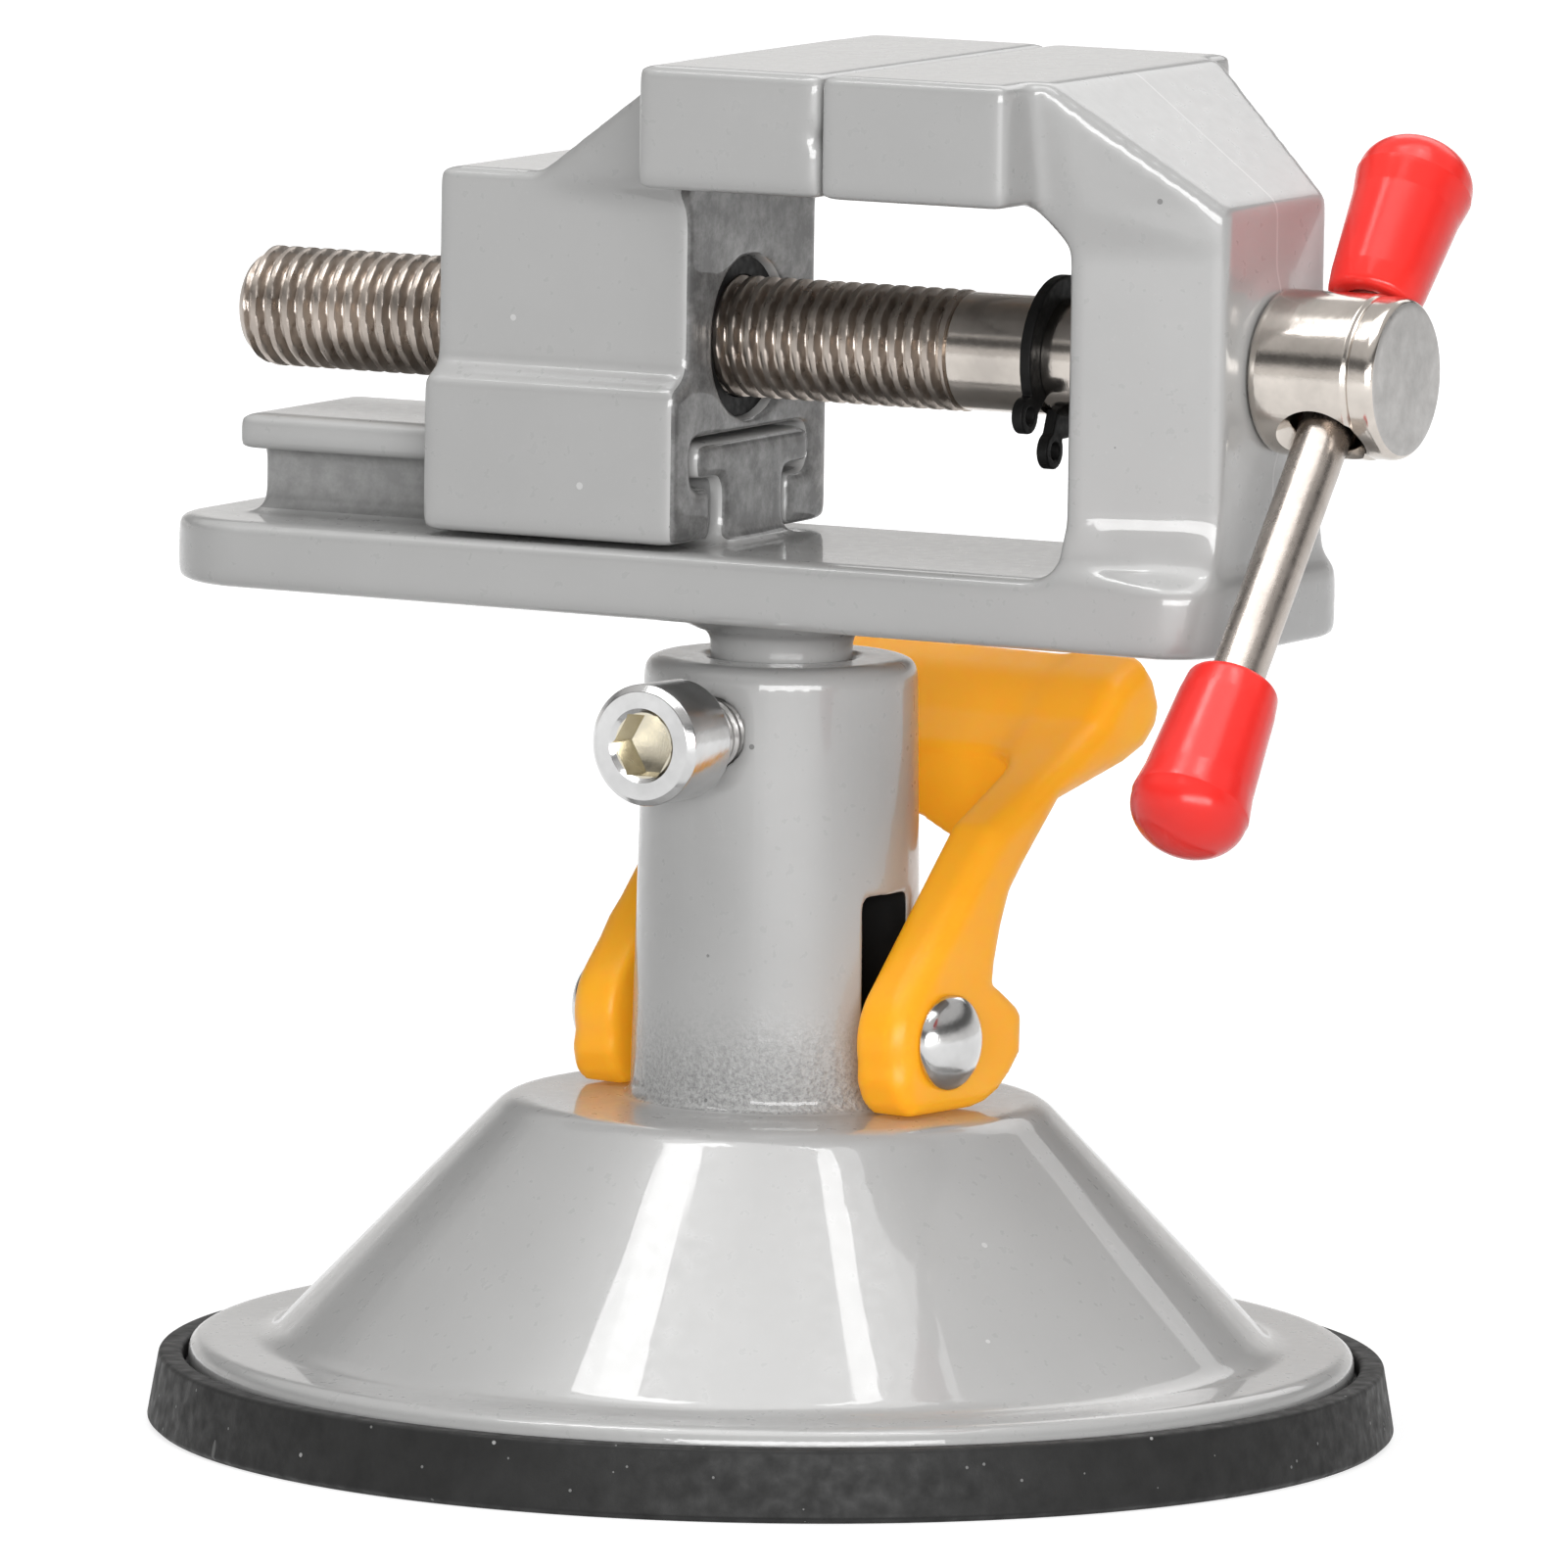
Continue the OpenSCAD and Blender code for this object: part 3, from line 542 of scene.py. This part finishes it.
def skin(name, field, low, high, step, softness):
    """A mesh over the zero surface of a field, one vertex in each grid cell that it crosses.

    Its normals are the field's slopes over the softness, so edges look rounded by about as much.
    """
    low = np.array(low, float)
    axes = [np.arange(a, b + step, step) for a, b in zip(low, high)]
    d = field(*np.meshgrid(*axes, indexing="ij", sparse=True))
    cells = np.array(d.shape) - 1
    total, count = np.zeros((*cells, 3)), np.zeros(cells)
    unit = np.eye(3, dtype=int)
    for axis in range(3):
        for corner in np.ndindex(2, 2, 2):
            if corner[axis]:
                continue
            start = tuple(slice(c, c + n) for c, n in zip(corner, cells))
            end = tuple(slice(c, c + n) for c, n in zip(corner + unit[axis], cells))
            crossed = (d[start] < 0) != (d[end] < 0)
            share = np.where(crossed, d[start] / np.where(crossed, d[start] - d[end], 1), 0)
            total += crossed[..., None] * (np.array(corner) + share[..., None] * unit[axis])
            count += crossed
    used = np.argwhere(count > 0)
    number = np.full(cells, -1)
    number[tuple(used.T)] = np.arange(len(used))
    spots = low + (used + total[tuple(used.T)] / count[tuple(used.T)][:, None]) * step
    faces = []
    for axis in range(3):
        b, c = unit[(axis + 1) % 3], unit[(axis + 2) % 3]
        start = tuple(slice(0, n) for n in cells)
        end = tuple(slice(u, u + n) for u, n in zip(unit[axis], cells))
        edges = np.argwhere((d[start] < 0) != (d[end] < 0))
        edges = edges[((edges - b - c) >= 0).all(axis=1)]
        ring = np.stack([number[tuple((edges - s).T)] for s in (0 * b, b, b + c, c)], axis=1)
        outward = d[tuple(edges.T)] < 0
        faces += np.where(outward[:, None], ring, ring[:, ::-1]).tolist()
    mesh = bpy.data.meshes.new(name)
    mesh.from_pydata((spots * MM).tolist(), [], faces)
    mesh.shade_smooth()
    x, y, z = spots.T
    h = softness / 2
    slope = np.stack([
        field(x + h, y, z) - field(x - h, y, z), field(x, y + h, z) - field(x, y - h, z),
        field(x, y, z + h) - field(x, y, z - h)
    ], axis=1)
    slope /= np.maximum(np.linalg.norm(slope, axis=1, keepdims=True), 1e-9)
    mesh.normals_split_custom_set_from_vertices(slope.tolist())
    return mesh


# Pieces of the base

def housing():
    """Flange, cone, deck and post in one casting, hollow from below, with its bores and slot."""
    flange_r, flange_z, flange_top = 48.2, 4.4, 7.2
    skirt_r, cone_r, deck_r, inner_deck_r, inner_deck_z = 39.5, 41.6, 22.2, 20.9, 24.8
    boss_r, boss_z = 10.6, 14
    post_foot_r, post_top_r = 12.0, 11.25
    axis_r = 0.01
    profile = rounded([
        (skirt_r, flange_z), (flange_r, flange_z, 0.4), (flange_r, flange_top, 1.3),
        (cone_r, flange_top, 2.6), (deck_r, DECK_Z, 3.2), (post_foot_r, DECK_Z + 0.1, 0.6),
        (post_top_r, POST_TOP, 1.6), (axis_r, POST_TOP, 0), (axis_r, boss_z, 0),
        (boss_r, boss_z, 0.4), (boss_r, inner_deck_z, 0.6), (inner_deck_r, inner_deck_z, 0.8),
        (skirt_r, flange_z)
    ], 1)
    piece = link("base_casting", lathe("base_casting", profile[:-1], 256), PAINT)
    stud_bore = rod(6, 52.2, 66)
    stem_bore = rod(6.7, 12, 50.4)
    pin_slot = placed(block(30, 6, 31.25, 45.2), (0, 0, 0), turn_z(BASE_YAW))
    clamp_hole = placed(rod(3.05, 0, 14), (0, 0, CLAMP_Z), turn_z(CLAMP_TURN) @ AGAINST_Y)
    for space in (stud_bore, stem_bore, pin_slot, clamp_hole):
        cut_with(piece, space)
    soften(piece, 0.42, 5)
    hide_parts("base_housing")
    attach(piece, "base")


def rubber_pad():
    """Membrane, shelf and lip, with a ground edge at its foot and a rolled top."""
    foot_r, lip_r, lip_in, lip_top = 51.55, 50.62, 48.62, 5.9
    shelf_r, shelf_z, web_r, web_low, web_top = 37.5, 4.4, 35.5, 0.9, 3.2
    profile = rounded([
        (0, web_low), (44, web_low, 2), (47, 0.0, 1), (51.0, 0.0, 0.4), (foot_r, 0.5, 0.3),
        (lip_r, lip_top, 0.45), (lip_in, lip_top, 0.5), (48.6, shelf_z, 0.1),
        (shelf_r, shelf_z, 0.4), (web_r, web_top, 0.4), (0, web_top)
    ], 0.4)
    piece = link("rubber_pad", lathe("rubber_pad", profile, 256), RUBBER)
    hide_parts("suction_pad")
    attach(piece, "base")


def rivet():
    """Domed rivet with a rim under each dome."""
    shank, reach, radius, rim, height = 2, 17.5, 3.95, 0.7, 1.7
    curve = (radius ** 2 + height ** 2) / (2 * height)
    sweep = math.degrees(math.asin(radius / curve))
    dome = arc(0, reach + rim + height - curve, curve, 90 - sweep, 90, 14)[1:]
    half = [
        (shank, reach), (radius - 0.2, reach), (radius, reach + 0.2), (radius, reach + rim - 0.15),
        (radius - 0.12, reach + rim + 0.06)
    ] + dome[:-1] + [(0, reach + rim + height)]
    profile = [(r, -h) for r, h in reversed(half)] + half
    mesh = placed(lathe("rivet", profile, 96), (0, 0, PIN_Z), turn_z(BASE_YAW) @ ALONG_X)
    piece = link("rivet", mesh, ZINC)
    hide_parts("lever_pin")
    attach(piece, "stem")


def socket_screw():
    """M6 socket screw along Z from its face: chamfered head, hexagon socket and cut thread."""
    face_y, head, head_r, chamfer, neck_r, neck = -21.5, 6, 5, 0.55, 2.7, 1.2
    hexagon_r, hexagon, flare_r, socket_r = 2.887, 3.2, 3.5, 2.95
    profile = rounded([
        (0, 0), (head_r - chamfer, 0, 0.15), (head_r, chamfer, 0.25), (head_r, head, 0.3),
        (neck_r, head, 0.1), (neck_r, head + neck, 0), (0, head + neck)
    ], 0.2)
    piece = link("socket_screw", lathe("socket_screw", profile, 96), ZINC)
    cut_with(piece, lathe("socket", [(0, -1), (hexagon_r, -1), (hexagon_r, hexagon), (0, 4.2)], 6))
    cut_with(piece, lathe("cone", [(0, -0.4), (flare_r, -0.4), (neck_r, 0.35), (0, 0.35)], 64))
    smooth(piece.data, 35)
    piece.data.materials.append(PASSIVATED)
    for facet in piece.data.polygons:
        inside = math.hypot(facet.center.x, facet.center.y) < socket_r * MM
        if inside and 0.2 * MM < facet.center.z < (head - 1) * MM:
            facet.material_index = 1
    thread = threaded("clamp_thread", 3, 1, 9.6, depth=0.55, segments=48, steps=8)
    join(piece, placed(thread, (0, 0, head + 9.95), UPSIDE_DOWN), DULL)
    turn = turn_z(CLAMP_TURN)
    spot = turn @ Vector((0, face_y, 0))
    placed(piece.data, (spot.x, spot.y, CLAMP_Z), turn @ ALONG_Y)
    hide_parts("clamp_screw")
    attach(piece, "clamp")


# Side view of the lever from its pin: how far back, how far up. Nose, front, paddle, back and cam
# make one closed outline; the paddle's own outline and the web's lie inside it
ARM_IN, ARM_OUT, PIN_HOLE_R = 12.4, 17.4, 2.05
NOSE = [(-1.5, -5.9), (-3.9, -5.9), (-5.1, -4.9), (-5.9, -3.2)] + arc(0, 0, 6.1, 195, 138.4, 8)
ARM_FRONT = [(6.9, 17.0), (17.0, 22.6)]
PADDLE_FRONT = [(17.0, 21.9), (20.4, 24.7), (23.1, 27.8), (23.9, 28.3)]
PADDLE_TIP = [(27.0, 29.6), (28.8, 27.7), (29.7, 25.3), (29.2, 23.4), (27.6, 21.8), (25.0, 20.7)]
PADDLE_FOOT = [(18.6, 20.4)]
ARM_BACK = [(15.9, 18.3), (9.8, 11.3), (7.4, 5.5), (7.1, 4.2), (10.4, 1.9), (10.9, 1.1)]
CAM = [(10.8, -1.95), (9.5, -3.5), (7.75, -4.9), (5.9, -5.7), (4.3, -5.9)]
WEB = [
    (17.4, 21.6), (19.8, 22.8), (23.4, 21.2), (18.8, 17.9),
    (17.4, 15.6), (16.6, 13.3), (15.6, 13.3), (16.2, 17.6)
]


def lever_field(x, y, z):
    """One rounded form with a hollow between its arms, and an arched web under its paddle."""
    side = np.abs(x)
    nose, arms = ramp(y, 3, -2) * ramp(z, -5.5, -1.5), ramp(z, 3, 9)
    edge = 0.9 + 1.2 * np.maximum(nose, arms)
    flare = 0.5 * ramp(z, 14, 22)
    outline = outline_field(NOSE + ARM_FRONT + PADDLE_FRONT[1:] + PADDLE_TIP + ARM_BACK + CAM, y, z)
    form = plate_field(outline, side - ARM_OUT - flare, edge)
    paddle = outline_field(PADDLE_FRONT + PADDLE_TIP + PADDLE_FOOT, y, z)
    hollow = plate_field(-paddle, side - ARM_IN, 4)
    arch_z = 13.4 + 3.6 * ramp(side, 8.5, 0)
    web_end = np.maximum(side - ARM_IN - 0.5, (arch_z - z) * 0.92)
    web = plate_field(outline_field(WEB, y, z), web_end, 0.4)
    pin_hole = np.hypot(y, z) - PIN_HOLE_R
    return np.maximum(np.minimum(plate_field(form, -hollow, 0.9), web), -pin_hole)


def cam_lever():
    low, high, step = (-18, -6.8, -6.6), (18.4, 29.8, 30.2), 0.4
    mesh = skin("cam_lever", lever_field, low, high, step, softness=1.2)
    placed(mesh, (0, 0, PIN_Z), turn_z(BASE_YAW))
    piece = link("cam_lever", mesh, ORANGE)
    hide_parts("lever")
    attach(piece, "lever")


# Pieces of the vise head

def lower_underside(bed):
    """Lets the underside of the bed's plate run down towards the column, as its casting's does."""
    boss, drop, draught = 1.4, 0.36, 0.0042
    for vertex in bed.data.vertices:
        x, z = vertex.co.x / MM, vertex.co.z / MM
        if z < BED_Z + 2:
            vertex.co.z -= min(1, max(0, z - BED_Z + boss)) * (drop + draught * x) * MM


def head_castings():
    bed = soft_copy("vise_bed", "bed_casting", PAINT, 0.34, 45)
    lower_underside(bed)
    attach(bed, "head")
    jaw = soft_copy("moving_jaw", "jaw_casting", PAINT, 0.32, 50)
    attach(jaw, "jaw")


# Places along the lead screw's axis
THREAD_START, THREAD_END, RING_X = -49.8, 16.8, 25.5
HEAD_X, HOLE_X, HEAD_END_X = 45.5, 51.314, 56.9
BAR_TURN = Matrix.Rotation(-BAR_LEAN, 4, "X")


def screw():
    """Lead screw along Z: rolled thread, turned shank and a round head with a cross hole."""
    core, shank, groove_r, groove = 4.3, 4.85, 4.4, 0.55
    head_r, rim_r, rim_x = 6.75, 6.62, HEAD_X + 8.6
    hole_r, mouth_r, throat, mouth = 3.0, 4.0, 5.3, 6.9
    profile = rounded([
        (0, THREAD_END - 1), (core - 0.1, THREAD_END - 1, 0), (core, THREAD_END - 0.2, 0),
        (shank, THREAD_END + 0.5, 0.3), (shank, RING_X - groove, 0), (groove_r, RING_X - groove, 0),
        (groove_r, RING_X + groove, 0), (shank, RING_X + groove, 0), (shank, HEAD_X, 0.1),
        (head_r, HEAD_X, 1.6), (head_r, rim_x, 0.3), (head_r - 0.3, rim_x + 0.3, 0.2),
        (rim_r, rim_x + 0.6, 0.2), (rim_r, HEAD_END_X, 1.3), (0, HEAD_END_X)
    ], 0.3, 8)
    piece = link("screw_body", lathe("screw_body", profile, 144), NICKEL)
    hole = rounded([
        (0, -10), (mouth_r, -10), (mouth_r, -mouth, 0), (hole_r, -throat, 0.8),
        (hole_r, throat, 0.8), (mouth_r, mouth, 0), (mouth_r, 10), (0, 10)
    ], 0)
    cut_with(piece, placed(lathe("hole", hole, 96), (0, 0, HOLE_X), ALONG_X.inverted() @ BAR_TURN))
    smooth(piece.data, 35)
    length = THREAD_END - THREAD_START - 0.1
    thread = threaded("lead_thread", 5, 1.5, length, depth=0.78, segments=96, steps=12)
    join(piece, placed(thread, (0, 0, THREAD_START + 0.35)), ROLLED)
    piece.data.materials.append(DULL)
    for face in piece.data.polygons:
        if face.center.z > (HEAD_END_X - 0.2) * MM:
            face.material_index = 2
    placed(piece.data, (0, 0, SCREW_Z), ALONG_X)
    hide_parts("lead_screw")
    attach(piece, "screw")


def circlip():
    piece = soft_copy("retaining_ring", "circlip", BLACK, 0.11, 3)
    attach(piece, "screw")


# The handle: CAP_START is how far up the bar from the lead screw's axis its upper cap starts
CAP_START, CAP_LEN, DOME_H, END_WALL = 6.85, 15.8, 4.0, 2.4
BAR_LEN, BAR_R = 68.6, 2.2


def on_bar(mesh):
    return placed(mesh, (HOLE_X, 0, SCREW_Z), BAR_TURN)


def cap_mesh(name):
    """A flared end cap: a rolled mouth, a fine parting line at its ridge and a low dome."""
    bore_r, mouth_r, ridge_r, dome_r = BAR_R + 0.05, 3.75, 4.9, 4.82
    ridge, lift, steps = CAP_LEN - DOME_H, 0.3, 14
    outer = rounded([
        (bore_r, 0.35), (bore_r + 0.05, 0.0, 0.1), (mouth_r, 0.0, 0.9), (mouth_r + 0.3, 2.2, 1),
        (4.55, ridge - 2.2, 2), (4.86, ridge - 0.35, 0.3), (ridge_r, ridge, 0.12),
        (dome_r, ridge + lift, 0.1)
    ], 0.4)
    quarter = [math.radians(90 * i / steps) for i in range(1, steps)]
    dome = [(dome_r * math.cos(a), ridge + lift + (DOME_H - lift) * math.sin(a)) for a in quarter]
    inner = [(0, CAP_LEN - END_WALL), (bore_r, CAP_LEN - END_WALL)]
    return lathe(name, inner + outer + dome + [(0, CAP_LEN)], 96, 30)


def handle():
    """Bar with an end cap on each end."""
    low, high = CAP_START + CAP_LEN - BAR_LEN + END_WALL, CAP_START + CAP_LEN - END_WALL
    profile = rounded([(0, low), (BAR_R, low, 0.4), (BAR_R, high, 0.4), (0, high)], 0.4)
    bar = link("bar_rod", on_bar(lathe("bar_rod", profile, 72)), BAR)
    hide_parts("t_bar")
    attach(bar, "bar")
    top = placed(cap_mesh("top_cap"), (0, 0, CAP_START))
    low_start = CAP_START + 2 * CAP_LEN - BAR_LEN
    bottom = placed(cap_mesh("bottom_cap"), (0, 0, low_start), UPSIDE_DOWN)
    for mesh, node in ((top, "upper_cap"), (bottom, "lower_cap")):
        piece = link(mesh.name, on_bar(mesh), RED)
        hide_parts(node)
        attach(piece, "bar")


def finish_cad_nodes():
    """Gives the CAD nodes that no piece replaces their own materials."""
    for node, material in {"pad_plate": ZINC, "pull_stem": BLACK, "threaded_bush": BLACK}.items():
        for slot in frame["nodes"][node].material_slots:
            slot.link = "OBJECT"
            slot.material = material


# Stage

def camera():
    a, e, r = (math.radians(v) for v in (CAMERA_AZIMUTH, CAMERA_ELEVATION, CAMERA_ROLL))
    back = Vector((math.sin(a) * math.cos(e), -math.cos(a) * math.cos(e), math.sin(e)))
    right = Vector((math.cos(a), math.sin(a), 0))
    up = back.cross(right)
    x = right * math.cos(r) + up * math.sin(r)
    y = up * math.cos(r) - right * math.sin(r)
    data = bpy.data.cameras.new("camera")
    data.lens = CAMERA_LENS
    data.sensor_width = CAMERA_SENSOR
    data.clip_end = CAMERA_REACH
    view = bpy.data.objects.new("camera", data)
    SCENE.collection.objects.link(view)
    turn = Matrix((x, y, back)).transposed().to_4x4()
    view.matrix_world = Matrix.Translation(CAMERA_TARGET + back * CAMERA_DISTANCE) @ turn
    SCENE.camera = view


def lamp(name, spot, target, size, power):
    data = bpy.data.lights.new(name, "AREA")
    data.shape = "RECTANGLE"
    data.size, data.size_y = size
    data.energy = power
    light = bpy.data.objects.new(name, data)
    SCENE.collection.objects.link(light)
    light.location = spot
    light.rotation_euler = (Vector(target) - Vector(spot)).to_track_quat("-Z", "Y").to_euler()


# The studio as gloss sees it, from straight down to straight up: share of the way, brightness
SOFT_LIGHT = 0.14
STUDIO = [(0.0, 0.9), (0.14, 0.85), (0.26, 0.16), (0.40, 0.10), (0.52, 0.6), (1.0, 0.8)]


def world():
    """Soft light all round; the camera sees it white, and gloss sees a studio with a dark band."""
    w = bpy.data.worlds.new("studio")
    SCENE.world = w
    w.use_nodes = True
    nodes, connect = w.node_tree.nodes, w.node_tree.links.new
    nodes.clear()
    path = nodes.new("ShaderNodeLightPath")
    place = nodes.new("ShaderNodeTexCoord")
    split = nodes.new("ShaderNodeSeparateXYZ")
    connect(place.outputs["Generated"], split.inputs[0])
    levels = nodes.new("ShaderNodeValToRGB")
    connect(split.outputs[2], levels.inputs[0])
    elements = levels.color_ramp.elements
    elements[0].position, elements[1].position = STUDIO[0][0], STUDIO[-1][0]
    for position, _ in STUDIO[1:-1]:
        elements.new(position)
    for element, (_, level) in zip(elements, STUDIO):
        element.color = (level, level * 0.985, level * 0.97, 1)
    soft, gloss, white = (nodes.new("ShaderNodeBackground") for _ in range(3))
    soft.inputs[0].default_value = white.inputs[0].default_value = (1, 1, 1, 1)
    soft.inputs[1].default_value = SOFT_LIGHT
    connect(levels.outputs[0], gloss.inputs[0])
    seen = nodes.new("ShaderNodeMath")
    seen.operation = "MAXIMUM"
    connect(path.outputs["Is Camera Ray"], seen.inputs[0])
    connect(path.outputs["Is Transmission Ray"], seen.inputs[1])
    light, view = nodes.new("ShaderNodeMixShader"), nodes.new("ShaderNodeMixShader")
    for mixer, sources in (
        (light, (path.outputs["Is Glossy Ray"], soft.outputs[0], gloss.outputs[0])),
        (view, (seen.outputs[0], light.outputs[0], white.outputs[0])),
    ):
        for source, socket in zip(sources, mixer.inputs):
            connect(source, socket)
    connect(view.outputs[0], nodes.new("ShaderNodeOutputWorld").inputs[0])


def floor():
    """A plain pale floor that fades into the white background and keeps the shadow."""
    size, near, far, near_glow = 4, 0.08, 0.9, 0.78
    bm = bmesh.new()
    bmesh.ops.create_grid(bm, x_segments=1, y_segments=1, size=size)
    mesh = bpy.data.meshes.new("floor")
    bm.to_mesh(mesh)
    bm.free()
    ground = bpy.data.objects.new("floor", mesh)
    SCENE.collection.objects.link(ground)
    s = Shader("pale_floor", Base_Color=(0.35, 0.35, 0.35, 1), Roughness=1.0,
               Specular_IOR_Level=0.0, Emission_Color=(1, 1, 1, 1))
    path = s.add("ShaderNodeLightPath")
    seen = s.math("MAXIMUM", path.outputs["Is Camera Ray"], path.outputs["Is Glossy Ray"])
    away = s.add("ShaderNodeVectorMath", {0: s.place}, operation="LENGTH").outputs["Value"]
    painted_glow = s.span(away, near, far, near_glow, 1.0)
    s.set("Emission Strength", s.math("MULTIPLY", seen, painted_glow))
    mesh.materials.append(s.material)


def lamps():
    """Lamps, in metres: how far to the camera's right, towards it and up, and their size."""
    target = (0, 0, 0.06)
    a = math.radians(CAMERA_AZIMUTH)
    right, near = Vector((math.cos(a), math.sin(a), 0)), Vector((math.sin(a), -math.cos(a), 0))
    for name, side, front, height, size, power in (
        ("overhead", 0.05, 0.30, 1.60, (1.5, 1.4), 14.5),
        ("front", 0.2, 1.50, 0.26, (1.5, 0.36), 18),
        ("strip_left", -0.62, 0.14, 1.50, (0.2, 0.75), 4.1),
        ("strip_right", 0.36, 0.27, 1.50, (0.09, 0.5), 1.2),
        ("back", 0.4, -1.2, 0.9, (1.2, 0.6), 3),
    ):
        spot = right * side + near * front + Vector((0, 0, height))
        lamp(name, spot, target, size, power)


housing()
rubber_pad()
rivet()
socket_screw()
cam_lever()
head_castings()
screw()
circlip()
handle()
finish_cad_nodes()
camera()
world()
floor()
lamps()
SCENE.view_settings.view_transform = "Standard"
